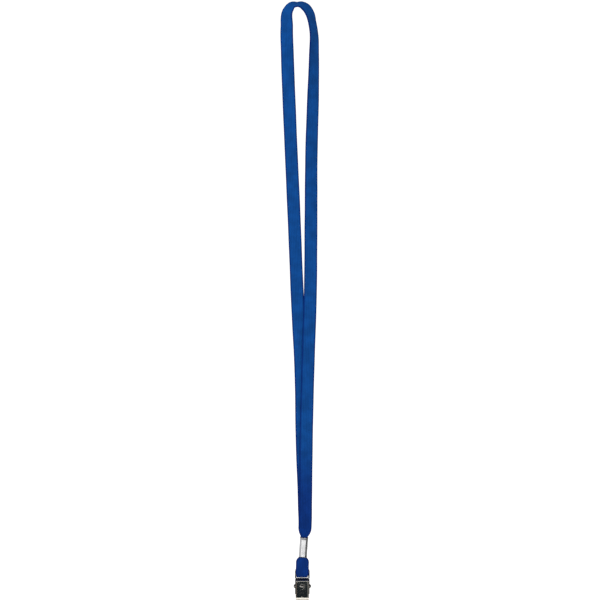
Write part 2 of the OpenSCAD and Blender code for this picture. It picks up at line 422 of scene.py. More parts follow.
def blended(tree: bpy.types.NodeTree, share: Any, under: Any, over: Any) -> Any:
    """Adds a Mix node for two colours.

    Args:
        tree: The node tree.
        share: How much of the second colour shows, as a number or socket.
        under: The first colour, as four numbers or a socket.
        over: The second colour.

    Returns:
        The mixed colour's socket.
    """
    mixer = node(tree, "ShaderNodeMix", data_type="RGBA")
    for slot, value in zip((mixer.inputs[0], mixer.inputs[6], mixer.inputs[7]), (share, under, over)):
        if isinstance(value, bpy.types.NodeSocket):
            tree.links.new(value, slot)
        else:
            slot.default_value = value
    return mixer.outputs[2]


def between(
    tree: bpy.types.NodeTree, value: Any, low: float, high: float, out_low: float, out_high: float
) -> Any:
    """Adds a Map Range node that eases from one range to another.

    Args:
        tree: The node tree.
        value: The socket to map.
        low: The value that gives out_low.
        high: The value that gives out_high.
        out_low: The answer at low and before it.
        out_high: The answer at high and past it.

    Returns:
        The answer's socket.
    """
    sockets = {"Value": value, "From Min": low, "From Max": high, "To Min": out_low, "To Max": out_high}
    return node(tree, "ShaderNodeMapRange", sockets, interpolation_type="SMOOTHSTEP").outputs[0]


def opaque(colour: Colour) -> tuple[float, float, float, float]:
    """A colour with full cover."""
    return (*colour, 1.0)


def new_group(name: str, inputs: dict[str, float | None], outputs: Sequence[str]) -> tuple[Any, Any, Any]:
    """Starts a shader node group with named number inputs and outputs.

    Args:
        name: The group's name.
        inputs: Each input's name with its first value, or None where the input is a place.
        outputs: The names of the outputs, which are all numbers.

    Returns:
        The group's tree, its input node and its output node.
    """
    tree = bpy.data.node_groups.new(name, "ShaderNodeTree")
    for label, value in inputs.items():
        kind = "NodeSocketVector" if value is None else "NodeSocketFloat"
        socket = tree.interface.new_socket(name=label, in_out="INPUT", socket_type=kind)
        if value is not None:
            socket.default_value = value
    for label in outputs:
        tree.interface.new_socket(name=label, in_out="OUTPUT", socket_type="NodeSocketFloat")
    return tree, tree.nodes.new("NodeGroupInput"), tree.nodes.new("NodeGroupOutput")


class Effects:
    """The shared shader groups: fine grain, edge wear, handling smudges and the tape's braid."""

    def __init__(self) -> None:
        """Builds each group once."""
        self.grain = self._grain()
        self.wear = self._wear()
        self.smudge = self._smudge()
        self.braid = self._braid()

    @staticmethod
    def _grain() -> bpy.types.NodeTree:
        """Fine surface grain: a fast noise with a little of a faster one on it.

        Returns:
            The group, which gives Height around 0.5.
        """
        sockets = {"Vector": None, "Scale": 1000.0, "Roughness": 0.6}
        tree, source, sink = new_group("fine_grain", sockets, ["Height"])
        noise = node(
            tree, "ShaderNodeTexNoise",
            {
                "Vector": source.outputs[0], "Scale": source.outputs[1],
                "Detail": 4.0, "Roughness": source.outputs[2],
            },
        )
        tree.links.new(noise.outputs[0], sink.inputs[0])
        return tree

    @staticmethod
    def _wear() -> bpy.types.NodeTree:
        """Worn corners: the edge mask, broken up by a noise so that the wear comes and goes along it.

        Returns:
            The group, which gives Mask from 0 to 1.
        """
        inputs = {"Edge": 0.0, "Vector": None, "Scale": 600.0, "Amount": 1.0}
        tree, source, sink = new_group("edge_wear", inputs, ["Mask"])
        noise = node(tree, "ShaderNodeTexNoise", {"Vector": source.outputs[1], "Scale": source.outputs[2]})
        patchy = between(tree, noise.outputs[0], 0.3, 0.65, 0.25, 1.0)
        mask = maths(tree, Sum.TIMES, between(tree, source.outputs[0], 0.05, 0.7, 0.0, 1.0), patchy)
        tree.links.new(maths(tree, Sum.TIMES, mask, source.outputs[3], held=True), sink.inputs[0])
        return tree

    @staticmethod
    def _smudge() -> bpy.types.NodeTree:
        """Handling smudges: broad soft patches from a slow noise.

        Returns:
            The group, which gives Mask from 0 to 1.
        """
        inputs = {"Vector": None, "Scale": 150.0, "Cover": 0.5}
        tree, source, sink = new_group("handling_smudges", inputs, ["Mask"])
        noise = node(
            tree, "ShaderNodeTexNoise",
            {"Vector": source.outputs[0], "Scale": source.outputs[1], "Detail": 3.0, "Distortion": 0.6},
        )
        lifted = maths(tree, Sum.ADD, maths(tree, Sum.LESS, noise.outputs[0], 0.5), source.outputs[2])
        tree.links.new(between(tree, lifted, 0.3, 0.8, 0.0, 1.0), sink.inputs[0])
        return tree

    @staticmethod
    def _braid() -> bpy.types.NodeTree:
        """The flat braid: plaits side by side whose threads slant one way and then the other.

        A thread's phase is the length along the tape times Threads, plus a zigzag of the place across it
        times Plaits and Slant. Height is the size of the phase's sine, less at the grooves between plaits.

        Returns:
            The group, which gives Height and Groove from 0 to 1.
        """
        inputs = {"UV": None, "Plaits": 8.0, "Threads": 16.0, "Slant": 1.0}
        tree, source, sink = new_group("flat_braid", inputs, ["Height", "Groove"])
        parts = node(tree, "ShaderNodeSeparateXYZ", {0: source.outputs[0]})
        column = maths(tree, Sum.TIMES, parts.outputs[0], source.outputs[1])
        zigzag = maths(tree, Sum.TIMES, maths(tree, Sum.ZIGZAG, column, 1.0), source.outputs[3])
        phase = maths(tree, Sum.ADD, maths(tree, Sum.TIMES, parts.outputs[1], source.outputs[2]), zigzag)
        thread = maths(tree, Sum.SIZE, maths(tree, Sum.SINE, maths(tree, Sum.TIMES, phase, math.pi)))
        plait = maths(tree, Sum.SIZE, maths(tree, Sum.SINE, maths(tree, Sum.TIMES, column, math.pi)))
        ridge = maths(tree, Sum.POWER, plait, 0.5)
        height = maths(tree, Sum.TIMES, maths(tree, Sum.POWER, thread, 0.7), ridge)
        tree.links.new(height, sink.inputs[0])
        tree.links.new(ridge, sink.inputs[1])
        return tree


def new_material(name: str) -> tuple[bpy.types.Material, bpy.types.NodeTree, bpy.types.Node]:
    """Starts a node material.

    Args:
        name: The material's name.

    Returns:
        The material, its node tree and its Principled shader.
    """
    material = bpy.data.materials.new(name)
    material.use_nodes = True
    return material, material.node_tree, material.node_tree.nodes["Principled BSDF"]


# ---------------------------------------------------------------------------------------------------------
# Finishes
# ---------------------------------------------------------------------------------------------------------


@dataclass(frozen=True)
class TapeFinish:
    """Braided polyester, satin, with painted shade along its edges, in the braid's valleys and down its lower
    length.
    """

    # upper and lower: the tape's colour above and below the fade; the darker lower colour is painted shade.
    upper: Colour = (0.0030, 0.0510, 0.215)
    lower: Colour = (0.0018, 0.0240, 0.150)
    # The edge colour is painted shade, darker where the tape's rounded edges turn from the light.
    painted_edge_shade: Colour = (0.0004, 0.0090, 0.105)
    fade_top: float = -320 * MM
    fade_foot: float = -380 * MM
    plaits: float = 8.0
    threads: float = 16.0
    bump: float = 0.07 * MM
    roughness: float = 0.78
    sheen: float = 0.03

    def material(self, effects: Effects) -> bpy.types.Material:
        """Builds the braid's colour, with painted shade at its edges, in its valleys and down its lower
        length, and its fuzz and relief.

        Args:
            effects: The shared shader groups.

        Returns:
            The material.
        """
        material, tree, shader = new_material("tape_braid")
        place = node(tree, "ShaderNodeTexCoord")
        height = node(tree, "ShaderNodeSeparateXYZ", {0: place.outputs["Object"]}).outputs[2]
        across = node(tree, "ShaderNodeSeparateXYZ", {0: place.outputs["UV"]}).outputs[0]
        braid = node(tree, "ShaderNodeGroup", node_tree=effects.braid)
        tree.links.new(place.outputs["UV"], braid.inputs["UV"])
        braid.inputs["Plaits"].default_value = self.plaits
        braid.inputs["Threads"].default_value = self.threads
        # Painted shade: the colour eases from upper to the darker lower colour between fade_top and
        # fade_foot, standing in for less light on the lower tape.
        low_shade_share = between(tree, height, self.fade_foot, self.fade_top, 1.0, 0.0)
        height_shaded_colour = blended(tree, low_shade_share, opaque(self.upper), opaque(self.lower))
        cloudy = node(
            tree, "ShaderNodeTexNoise", {"Vector": place.outputs["Object"], "Scale": 120.0, "Detail": 5.0}
        )
        uneven = between(tree, cloudy.outputs[0], 0.3, 0.7, 0.84, 1.14)
        # Painted shade: the braid's valleys are darker, 0.62 of the colour at the lowest against 1.1 at the
        # crests; shade joins this to the random unevenness.
        thread = between(tree, braid.outputs["Height"], 0.0, 0.8, 0.62, 1.1)
        shade = maths(tree, Sum.TIMES, uneven, thread)
        toned = node(tree, "ShaderNodeVectorMath", {0: height_shaded_colour, 3: shade}, operation="SCALE").outputs[0]
        # Painted shade: the colour darkens towards both edges of the tape, where its rounded edges turn from
        # the light.
        from_middle = maths(tree, Sum.SIZE, maths(tree, Sum.LESS, across, 0.5))
        rim = between(tree, from_middle, 0.36, 0.475, 0.0, 0.85)
        tree.links.new(blended(tree, rim, toned, opaque(self.painted_edge_shade)), shader.inputs["Base Color"])
        fuzz = node(tree, "ShaderNodeGroup", node_tree=effects.grain)
        tree.links.new(place.outputs["Object"], fuzz.inputs["Vector"])
        fuzz.inputs["Scale"].default_value = 5200.0
        relief = maths(tree, Sum.ADD, braid.outputs["Height"], maths(tree, Sum.TIMES, fuzz.outputs[0], 0.5))
        bump = node(tree, "ShaderNodeBump", {"Strength": 0.8, "Distance": self.bump, "Height": relief})
        tree.links.new(bump.outputs[0], shader.inputs["Normal"])
        shader.inputs["Roughness"].default_value = self.roughness
        shader.inputs["Specular IOR Level"].default_value = 0.06
        shader.inputs["Sheen Weight"].default_value = self.sheen
        shader.inputs["Sheen Roughness"].default_value = 0.45
        shader.inputs["Sheen Tint"].default_value = (0.25, 0.5, 1.0, 1.0)
        return material


@dataclass(frozen=True)
class MetalFinish:
    """Plated or bright metal with drawn grain, handling smudges and worn corners."""

    name: str
    colour: Colour
    worn: Colour
    roughness: float
    worn_roughness: float = 0.35
    smudged_roughness: float = 0.1
    grain_scale: float = 2500.0
    grain_stretch: Point = (1.0, 1.0, 1.0)
    grain_depth: float = 0.004 * MM
    wear: float = 0.8
    cover: float = 0.45
    anisotropy: float = 0.0
    metallic: float = 1.0
    dulling: float = 0.25
    smoothest: float = 0.85
    roughest: float = 1.2
    grain_strength: float = 0.6
    bite: float = -1.0
    bite_blur: float = 0.3 * MM
    # Painted highlight: this pale colour and low metallic stand in for the floor's bright reflection on the
    # lip.
    lip_highlight_colour: Colour = (0.80, 0.77, 0.69)
    lip_highlight_metallic: float = 0.35

    def material(self, effects: Effects) -> bpy.types.Material:
        """Builds the metal's colour, gloss, grain and wear.

        Painted highlight: below the bite's height the metal turns to a pale cream and is less metallic,
        standing in for the bright floor's reflection on the jaws' lips.

        Args:
            effects: The shared shader groups.

        Returns:
            The material.
        """
        material, tree, shader = new_material(self.name)
        place = node(tree, "ShaderNodeTexCoord").outputs["Object"]
        drawn = node(tree, "ShaderNodeMapping", {"Vector": place, "Scale": self.grain_stretch}).outputs[0]
        grain = node(tree, "ShaderNodeGroup", node_tree=effects.grain)
        tree.links.new(drawn, grain.inputs["Vector"])
        grain.inputs["Scale"].default_value = self.grain_scale
        edge = node(tree, "ShaderNodeAttribute", attribute_name="edge").outputs["Fac"]
        wear = node(tree, "ShaderNodeGroup", node_tree=effects.wear)
        tree.links.new(edge, wear.inputs["Edge"])
        tree.links.new(place, wear.inputs["Vector"])
        wear.inputs["Amount"].default_value = self.wear
        smudge = node(tree, "ShaderNodeGroup", node_tree=effects.smudge)
        tree.links.new(place, smudge.inputs["Vector"])
        smudge.inputs["Cover"].default_value = self.cover
        dulling = maths(tree, Sum.TIMES, smudge.outputs[0], self.dulling)
        dulled = blended(tree, dulling, opaque(self.colour), opaque(self.worn))
        colour = blended(tree, wear.outputs[0], dulled, opaque(self.worn))
        height = node(tree, "ShaderNodeSeparateXYZ", {"Vector": place}).outputs["Z"]
        # Painted highlight below the bite's height: pale and less metallic, standing in for the floor's
        # reflection on the lips.
        bitten = between(tree, height, self.bite, self.bite + self.bite_blur, 1.0, 0.0)
        colour = blended(tree, bitten, colour, opaque(self.lip_highlight_colour))
        tree.links.new(colour, shader.inputs["Base Color"])
        smooth_end, rough_end = self.roughness * self.smoothest, self.roughness * self.roughest
        streak = between(tree, grain.outputs[0], 0.3, 0.7, smooth_end, rough_end)
        smeared = maths(tree, Sum.TIMES, smudge.outputs[0], self.smudged_roughness)
        scuffed = maths(tree, Sum.TIMES, wear.outputs[0], self.worn_roughness)
        rough = maths(tree, Sum.ADD, maths(tree, Sum.ADD, streak, smeared), scuffed, held=True)
        tree.links.new(rough, shader.inputs["Roughness"])
        relief = {"Strength": self.grain_strength, "Distance": self.grain_depth, "Height": grain.outputs[0]}
        bump = node(tree, "ShaderNodeBump", relief)
        tree.links.new(bump.outputs[0], shader.inputs["Normal"])
        metallic = between(tree, bitten, 0.0, 1.0, self.metallic, self.lip_highlight_metallic)
        tree.links.new(metallic, shader.inputs["Metallic"])
        shader.inputs["Anisotropic"].default_value = self.anisotropy
        return material


CRIMP_METAL = MetalFinish(
    "crimp_aluminium", (0.70, 0.70, 0.705), (0.80, 0.80, 0.80), 0.12, worn_roughness=0.1,
    smudged_roughness=0.04, grain_stretch=(1.0, 1.0, 0.03), grain_depth=0.004 * MM,
)
CLIP_PLATE = MetalFinish(
    "clip_nickel", (0.66, 0.64, 0.60), (0.80, 0.74, 0.64), 0.06, worn_roughness=0.2,
    smudged_roughness=0.05, grain_depth=0.0004 * MM, bite=-449.7 * MM,
)
RIVET_STEEL = MetalFinish(
    "rivet_nickel", (0.70, 0.68, 0.66), (0.82, 0.78, 0.70), 0.16, grain_depth=0.006 * MM,
)
SPRING_WIRE = MetalFinish(
    "spring_drawn_wire", (0.42, 0.42, 0.43), (0.60, 0.58, 0.54), 0.26, grain_stretch=(0.2, 1.0, 1.0),
)


# ---------------------------------------------------------------------------------------------------------
# The tape
# ---------------------------------------------------------------------------------------------------------

# The route's points in the frame: x, y, z in metres, and how far the tape's face is turned from the front
# towards the outside of the loop, in degrees.
NECK_ROUTE = np.array([
    [0.0034, 0, -0.4175, 0], [0.0043, 0, -0.404, 0], [0.0048, 0.0006, -0.398, 0], [0.0045, 0.0007, -0.38, 0],
    [0.0029, 0.0007, -0.335, 0], [0.0019, 0.0007, -0.28, 0], [-0.0008, 0.0005, -0.224, 0],
    [-0.0034, 0, -0.16, 0], [-0.0066, 0, -0.087, 0], [-0.0085, 0, -0.036, 0], [-0.0089, 0, -0.017, 15],
    [-0.0078, 0, -0.0036, 36], [-0.0049, 0, 0, 48], [-0.001, 0, 0.0006, 60], [0.0022, 0, 0.0004, 51],
    [0.0053, 0, -0.0014, 42], [0.0086, 0, -0.0062, 44], [0.0102, 0, -0.012, 51], [0.0117, 0, -0.021, 50],
    [0.0118, 0, -0.038, 41], [0.0111, 0, -0.069, 27], [0.0099, 0, -0.11, 17], [0.0095, 0, -0.165, 9],
    [0.0091, -0.0004, -0.215, 0], [0.0074, -0.0007, -0.27, 0], [0.006, -0.0007, -0.325, 0],
    [0.0054, -0.0007, -0.375, 0], [0.0049, -0.0009, -0.398, 0], [0.0043, -0.0014, -0.404, 0],
])
LOOP_ROUTE = np.array([
    [0.0032, -0.0014, -0.4196, 0], [0.0029, 0, -0.427, 0], [0.0028, 0.0011, -0.4337, 0],
    [0.0028, 0.0014, -0.4345, 0], [0.0028, 0.00205, -0.4348, 0], [0.0028, 0.0027, -0.4345, 0],
    [0.0028, 0.003, -0.4337, 0], [0.0029, 0.00305, -0.4286, 0], [0.0032, 0.0014, -0.4196, 0],
    [0.0041, 0.0014, -0.407, 0],
])


@dataclass
class Tape:
    """The flat braided tape: one length round the neck, down through the crimp and round the clip's slot."""

    width: float = 9.9 * MM
    thickness: float = 1.1 * MM
    squeezed_width: float = 4.4 * MM
    squeezed_thickness: float = 1.2 * MM
    slot_width: float = 8.6 * MM
    slot_top: float = -433.9 * MM
    slot_run: float = 2 * MM
    spread_above: float = 7 * MM
    spread_below: float = 3.8 * MM
    crimp_top: float = -404.2 * MM
    crimp_foot: float = -419.4 * MM
    gather: float = 0.3 * MM
    crown: float = 0.16
    slow_ripple: float = 0.006
    slow_length: float = 13 * MM
    quick_ripple: float = 0.005
    quick_length: float = 5.3 * MM
    route_steps: int = 60
    cord_steps: int = 12
    ring_gap: float = 0.6 * MM
    flat_steps: int = 12
    edge_steps: int = 5
    bend_start: float = -419.6 * MM
    bend_end: float = -425.6 * MM

    def centreline(self, steps: int) -> tuple[np.ndarray, np.ndarray]:
        """The smooth route through the listed points.

        Each stretch is a cubic curve: with s from 0 to 1, the first point times (2s^3 - 3s^2 + 1), the second
        times (3s^2 - 2s^3), and the stretch's length times the slope at each end times (s^3 - 2s^2 + s) and
        (s^3 - s^2). An inner point's slope is the mean of the slopes before and after it, each weighted by
        the other stretch's length.

        Args:
            steps: How many equal steps each stretch is cut into.

        Returns:
            The centreline's points, and for each the width direction of the tape.
        """
        route = np.vstack([NECK_ROUTE, LOOP_ROUTE])
        place = route[:, :3]
        leap = np.diff(place, axis=0)
        length = np.linalg.norm(leap, axis=1)[:, None]
        slope = np.vstack([
            leap[:1] / length[:1],
            (leap[:-1] * length[1:] / length[:-1] + leap[1:] * length[:-1] / length[1:])
            / (length[:-1] + length[1:]),
            leap[-1:] / length[-1:],
        ])
        s = np.linspace(0.0, 1.0, steps, endpoint=False)[None, :, None]
        p, q, m, n = (v[:, None, :] for v in (place[:-1], place[1:], slope[:-1] * length, slope[1:] * length))
        curve = (
            p * (2 * s**3 - 3 * s**2 + 1) + q * (3 * s**2 - 2 * s**3)
            + m * (s**3 - 2 * s**2 + s) + n * (s**3 - s**2)
        )
        turn = np.radians(mix(route[:-1, None, 3:], route[1:, None, 3:], s))
        on_loop = np.arange(len(leap))[:, None, None] >= len(NECK_ROUTE) - 1
        line = np.vstack([curve.reshape(-1, 3), place[-1:]])
        heading = unit(np.gradient(line, axis=0))[:-1].reshape(curve.shape)
        sideways = unit(np.cross(heading, [0.0, 1.0, 0.0]) + [1e-12, 0, 0])
        side = np.where(on_loop, np.array([1.0, 0.0, 0.0]), sideways)
        across = -side * np.cos(turn) - np.array([0.0, 1.0, 0.0]) * np.sin(turn)
        across = across.reshape(-1, 3)
        return line, np.vstack([across, across[-1:]])

    def section(self) -> tuple[np.ndarray, np.ndarray, np.ndarray]:
        """The tape's outline: two flat runs joined by half-turn edges.

        Returns:
            For each outline point, its share across the flat width from -1 to 1, and the share of an edge
            radius that it goes outwards and up.
        """
        run = np.linspace(-1.0, 1.0, self.flat_steps + 1)
        turn = np.radians(np.linspace(90.0, -90.0, self.edge_steps + 2))[1:-1]
        ones = np.ones_like(turn)
        across = np.concatenate([run, ones, run[::-1], -ones])
        out = np.concatenate([0 * run, np.cos(turn), 0 * run, -np.cos(turn)])
        up = np.concatenate([0 * run + 1, np.sin(turn), 0 * run - 1, -np.sin(turn)])
        return across, out, up

    def rings(self) -> tuple[np.ndarray, np.ndarray]:
        """The tape's skin: its section carried along the route.

        The section narrows where the crimp squeezes the tape and where the slot holds it, and gathers into
        shallow pleats, a cosine across the width, at the crimp's mouths. The pleats are the same from both
        edges, so that the two strands, which run opposite ways, nest. A ripple, a sum of two sines of the
        length, keeps the edges from being dead straight. Both faces are crowned: their height is less by the
        crown's share times the square of the place across.

        Returns:
            The places, rings by outline points, and the UV of each: across and along in tape widths.
        """
        line, direction = self.centreline(self.route_steps)
        along = walk(line)
        stop = np.linspace(0.0, along[-1], int(along[-1] / self.ring_gap) + 1)
        centre = at_distance(line, stop)
        heading = unit(np.gradient(centre, axis=0))
        across = np.stack([np.interp(stop, along, direction[:, k]) for k in range(3)], axis=1)
        across = unit(across - heading * np.sum(across * heading, axis=1, keepdims=True))
        normal = np.cross(across, heading)
        z = centre[:, 2]
        above = (z - self.crimp_top) / self.spread_above
        below = (self.crimp_foot - z) / self.spread_below
        free = ease_out(np.maximum(above, below))
        slow = self.slow_ripple * np.sin(stop / self.slow_length)
        quick = self.quick_ripple * np.sin(stop / self.quick_length + 1.0)
        width = mix(self.squeezed_width, self.width * (1.0 + slow + quick), free)
        beyond = along[self.route_steps * (len(NECK_ROUTE) - 1)]
        held = mix(self.slot_width, self.width, smooth((z - self.slot_top) / self.slot_run))
        width = np.where(stop > beyond, np.minimum(width, held), width)[:, None]
        thick = mix(self.squeezed_thickness, self.thickness, free)[:, None]
        share, out, up = self.section()
        pleat = self.gather * 4.0 * (free * (1.0 - free))[:, None] * np.cos(2.0 * math.pi * share[None])
        domed = 1.0 - self.crown * share[None] ** 2 * (np.abs(up) == 1)
        edge = thick / 2
        sideways = share[None] * (width / 2 - edge) + out[None] * edge
        lift = up[None] * edge * domed + pleat
        places = centre[:, None] + sideways[..., None] * across[:, None] + lift[..., None] * normal[:, None]
        uv = np.stack(
            [sideways / width + 0.5, np.broadcast_to(stop[:, None] / self.width, sideways.shape)], axis=-1
        )
        return places, uv

    def build(self, finish: bpy.types.Material) -> bpy.types.Object:
        """Args:
            finish: The braid's material.

        Returns:
            The tape.
        """
        places, uv = self.rings()
        shell = Shell.tube(places)
        piece = shell.made("tape_strap")
        mesh = piece.data
        corner = np.empty(len(mesh.loops), dtype=np.int32)
        mesh.loops.foreach_get("vertex_index", corner)
        mesh.uv_layers.new(name="UVMap").data.foreach_set("uv", uv.reshape(-1, 2)[corner].ravel())
        finish_surface(piece, crease=80.0)
        mesh.materials.append(finish)
        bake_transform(piece)
        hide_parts("strap")
        return piece


# ---------------------------------------------------------------------------------------------------------
# The crimp
# ---------------------------------------------------------------------------------------------------------


@dataclass
class Crimp:
    """The pressed sleeve that joins the tape's three layers, with its seam at the back."""

    height: float = 15.2 * MM
    width: float = 6.2 * MM
    depth: float = 5.4 * MM
    wall: float = 0.45 * MM
    seam: float = 0.3 * MM
    lean: float = 4.0
    squareness: float = 3.4
    flare: float = 0.06 * MM
    flare_start: float = 0.36
    flare_share: float = 0.14
    crease_depth: float = 0.06 * MM
    crease_width: float = 0.5 * MM
    dent_depth: float = 0.06 * MM
    dent_place: float = 0.22
    dent_share: float = 0.1
    around_steps: int = 96
    up_steps: int = 44
    rim_steps: int = 5

    def wall_loop(self) -> tuple[np.ndarray, np.ndarray]:
        """The closed outline of the wall, cut lengthwise: up the outside, over the rim and down the inside.

        Returns:
            For each outline point, its height from the middle, and how far it lies inside the outer face.
        """
        radius = self.wall / 2
        top = self.height / 2 - radius
        rise = np.linspace(-top, top, self.up_steps + 1)
        turn = np.radians(np.linspace(0.0, 180.0, self.rim_steps + 2))[1:-1]
        height = np.concatenate([rise, top + radius * np.sin(turn), rise[::-1], -top - radius * np.sin(turn)])
        inset = np.concatenate([
            0 * rise, radius * (1 - np.cos(turn)), 0 * rise + self.wall, radius * (1 + np.cos(turn)),
        ])
        return height, inset

    def rings(self, centre: np.ndarray) -> np.ndarray:
        """The sleeve's skin: the wall's outline carried round a rounded rectangle from seam to seam.

        A rounded rectangle's point at an angle is half its width times the cosine's size to the power 2/n
        with the cosine's sign, and half its depth times the same of the sine. The mouths flare, a shallow
        crease runs down the front, and two dents show where the pliers held the sides.

        Args:
            centre: The crimp's middle.

        Returns:
            The places, rings round the sleeve by points round the wall.
        """
        height, inset = self.wall_loop()
        gap = self.seam / self.width
        angle = np.linspace(math.pi / 2 + gap, 2.5 * math.pi - gap, self.around_steps + 1)[:, None]
        power = 2.0 / self.squareness
        cosine, sine = np.cos(angle), np.sin(angle)
        past_flare = (np.abs(height) - self.flare_start * self.height) / (self.flare_share * self.height)
        near_mouth = smooth(past_flare)
        grow = self.flare * near_mouth[None] - inset[None]
        x = (self.width / 2 + grow) * np.sign(cosine) * np.abs(cosine) ** power
        y = (self.depth / 2 + grow) * np.sign(sine) * np.abs(sine) ** power
        front = smooth(-2.0 * sine)
        y = y + self.crease_depth * np.exp(-((x / self.crease_width) ** 2)) * front
        from_dent = (np.abs(height) - self.dent_place * self.height) / (self.dent_share * self.height)
        dents = np.exp(-(from_dent**2))[None]
        x = x - np.sign(x) * self.dent_depth * dents * smooth((np.abs(cosine) - 0.6) / 0.4)
        lean = math.radians(self.lean)
        z = np.broadcast_to(height[None], x.shape)
        leaned = np.stack(
            [x * math.cos(lean) + z * math.sin(lean), y, z * math.cos(lean) - x * math.sin(lean)], -1
        )
        return leaned + centre

    def build(self, finish: bpy.types.Material) -> bpy.types.Object:
        """Makes the crimp.

        Args:
            finish: The crimp's material.

        Returns:
            The crimp.
        """
        low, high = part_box("crimp")
        centre = (np.array(low) + np.array(high)) / 2
        piece = Shell.tube(self.rings(centre)).made("crimp_sleeve")
        finish_surface(piece, crease=50.0)
        piece.data.materials.append(finish)
        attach(piece, Body.NECK.value)
        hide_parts("crimp")
        LOG.info("crimp_sleeve: %.1f mm high at z %.1f mm", self.height / MM, centre[2] / MM)
        return piece


# ---------------------------------------------------------------------------------------------------------
# The bulldog clip
# ---------------------------------------------------------------------------------------------------------


def tooth_count(width: float, pitch: float) -> int:
    """The odd number of teeth whose pitch comes near the given one over an edge's width."""
    return 2 * math.floor(width / pitch / 2) + 1


def teeth(x: np.ndarray, width: float, pitch: float, height: float) -> np.ndarray:
    """How far a toothed edge stands back at each x: a zigzag that is 0 at every tooth's tip.

    Args:
        x: The places across the edge, measured from its middle.
        width: The edge's width, which an odd number of teeth fills.
        pitch: The pitch that the teeth come nearest to.
        height: The teeth's height.

    Returns:
        The distance from the tips' line.
    """
    phase = (x / width + 0.5) * tooth_count(width, pitch)
    return height * np.abs(2.0 * (phase - np.floor(phase)) - 1.0)


def folded_ear(
    side: Side, edge_x: float, edge_y: float, rows: np.ndarray, radius: float, inward: float,
    free: np.ndarray, fold_steps: int = 7, wing_steps: int = 12,
) -> Shell:
    """An ear folded back from a plate's side: a quarter turn, then a flat wing out to its free edge.

    The quarter turn is edge_x plus the radius times the sine, and edge_y plus the radius times one less the
    cosine, of an angle from 0 to 90 degrees. The wing goes straight from there to the free edge's point in
    the same row.

    Args:
        side: Which side of the plate the ear is on.
        edge_x: How far from the middle the fold starts.
        edge_y: The plate's depth there.
        rows: The heights of the plate's own corners along the fold.
        radius: The fold's radius at the middle of the sheet.
        inward: The depth direction that the ear is folded towards, 1 or -1.
        free: The free edge, as depth and height, from its lower to its upper end.
        fold_steps: How many steps the quarter turn has.
        wing_steps: How many steps there are across the wing.

    Returns:
        The ear's surface.
    """
    turn = np.radians(np.linspace(0.0, 90.0, fold_steps + 1))
    bend_x = edge_x + radius * np.sin(turn)
    bend_y = edge_y + inward * radius * (1.0 - np.cos(turn))
    reach = walk(free)[-1] * (rows - rows[0]) / (rows[-1] - rows[0])
    tip = at_distance(free, reach)
    share = np.linspace(0.0, 1.0, wing_steps + 1)[1:]
    wing_y = mix(bend_y[-1], tip[:, :1], share[None])
    wing_z = mix(rows[:, None], tip[:, 1:], share[None])
    x = np.concatenate([bend_x, np.full(len(share), bend_x[-1])])
    y = np.hstack([np.tile(bend_y, (len(rows), 1)), wing_y])
    z = np.hstack([np.tile(rows[:, None], (1, len(turn))), wing_z])
    return Shell.grid(np.stack([side.value * np.broadcast_to(x, y.shape), y, z], axis=-1))


def dress(
    piece: bpy.types.Object, finish: bpy.types.Material, body: Body, cad_node: str
) -> bpy.types.Object:
    """Gives a piece its material and body, and hides the CAD node that it stands for.

    Args:
        piece: The finished piece.
        finish: Its material.
        body: The body that it rides on.
        cad_node: The CAD node that it stands for.

    Returns:
        The same piece.
    """
    piece.data.materials.clear()
    piece.data.materials.append(finish)
    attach(piece, body.value)
    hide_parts(cad_node)
    LOG.info("%s: %d corners on %s", piece.name, len(piece.data.vertices), body.value)
    return piece


@dataclass
class SheetPiece:
    """What both pressed jaws share: the sheet, its rounded edges, its teeth and its grid."""

    sheet: float = 0.5 * MM
    rim: float = 0.1 * MM
    join_gap: float = 0.002 * MM
    tooth_pitch: float = 1.1 * MM
    tooth_height: float = 0.45 * MM
    tooth_reach: float = 2.0
    tooth_steps: int = 4
    nose_steps: int = 24
    cell: float = 0.3 * MM
    relief: float = 0.35 * MM

    def thicken(self, shell: Shell, name: str, axis: np.ndarray) -> bpy.types.Object:
        """Gives a middle surface its sheet thickness and rounded edges, and moves it to the rivet's axis.

        Args:
            shell: The middle surface, measured from the rivet's axis.
            name: The new piece's name.
            axis: The middle of the rivet's axis in the frame.

        Returns:
            The jaw as a closed solid.
        """
        work = bmesh.new()
        middle = bpy.data.meshes.new(name + "_middle")
        middle.from_pydata((shell.corners + axis).tolist(), [], shell.quads.tolist())
        work.from_mesh(middle)
        bmesh.ops.remove_doubles(work, verts=work.verts, dist=self.join_gap)
        loose = [corner for corner in work.verts if not corner.link_faces]
        bmesh.ops.delete(work, geom=loose, context="VERTS")
        bmesh.ops.recalc_face_normals(work, faces=work.faces)
        work.to_mesh(middle)
        work.free()
        piece = thickened(middle, self.sheet, self.rim).made(name)
        bpy.data.meshes.remove(middle)
        finish_surface(piece, crease=50.0)
        return piece


